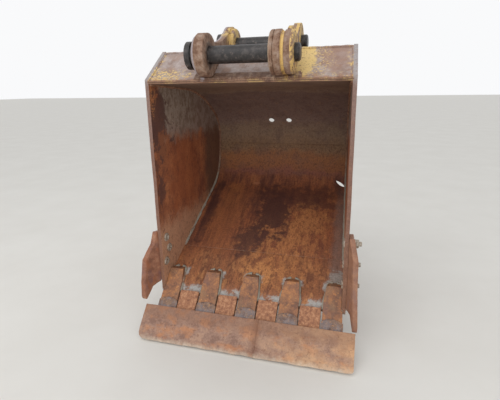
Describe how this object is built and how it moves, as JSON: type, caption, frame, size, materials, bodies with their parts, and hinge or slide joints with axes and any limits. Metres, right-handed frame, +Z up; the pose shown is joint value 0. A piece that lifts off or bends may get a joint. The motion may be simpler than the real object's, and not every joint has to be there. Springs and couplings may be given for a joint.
{
  "type": "excavator bucket",
  "caption": "Worn digging bucket of a crawler excavator with teeth, a flat blade across them, side cutters and two pins that draw out.",
  "frame": {"origin": "middle of the arm pin's bearing length, between the ears", "axes": "+X along the arm pin, towards its plain end; +Y into the bucket, away from the mouth; +Z up as the bucket hangs in the picture"},
  "size_m": [1.2232, 1.2168, 1.684],
  "materials": {
    "worn_floor": "rusted and scoured",
    "worn_back": "dark rust and dried soil",
    "side_steel": "rusted",
    "painted_remains": "rust with remains of yellow paint",
    "ear_steel": "rusted with remains of yellow paint",
    "cast_steel": "rusted, polished at the front",
    "plate_steel": "orange rust",
    "blade_steel": "rusted",
    "cutter_steel": "rusted",
    "greasy_steel": "dark and greasy"
  },
  "bodies": {
    "bucket": {"floor_plate": "worn_floor", "back_plate": "worn_back", "lip_plate": "worn_floor", "side_plate_left": "side_steel", "side_plate_right": "side_steel", "box_front_plate": "painted_remains", "box_rear_plate": "painted_remains", "front_bar": "ear_steel", "ear_left": "ear_steel", "ear_right": "ear_steel", "adjusting_ring": "ear_steel", "adapter_1": "cast_steel", "adapter_2": "cast_steel", "adapter_3": "cast_steel", "adapter_4": "cast_steel", "adapter_5": "cast_steel", "tooth_1": "cast_steel", "tooth_2": "cast_steel", "tooth_3": "cast_steel", "tooth_4": "cast_steel", "tooth_5": "cast_steel", "connecting_plate_1": "plate_steel", "connecting_plate_2": "plate_steel", "connecting_plate_3": "plate_steel", "connecting_plate_4": "plate_steel", "blade_left": "blade_steel", "blade_right": "blade_steel", "side_cutter_left": "cutter_steel", "side_cutter_right": "cutter_steel", "wear_strip_1": "worn_floor", "wear_strip_2": "worn_floor", "wear_strip_3": "worn_floor", "corner_plate_left": "side_steel", "corner_plate_right": "side_steel"},
    "arm_pin_body": {"arm_pin": "greasy_steel"},
    "link_pin_body": {"link_pin": "greasy_steel"}
  },
  "joints": [
    {"name": "arm_pin_slide", "type": "slide", "parent": "bucket", "child": "arm_pin_body", "axis": [-1, 0, 0], "range_m": [0, 0.75]},
    {"name": "link_pin_slide", "type": "slide", "parent": "bucket", "child": "link_pin_body", "axis": [-1, 0, 0], "range_m": [0, 0.75]}
  ]
}
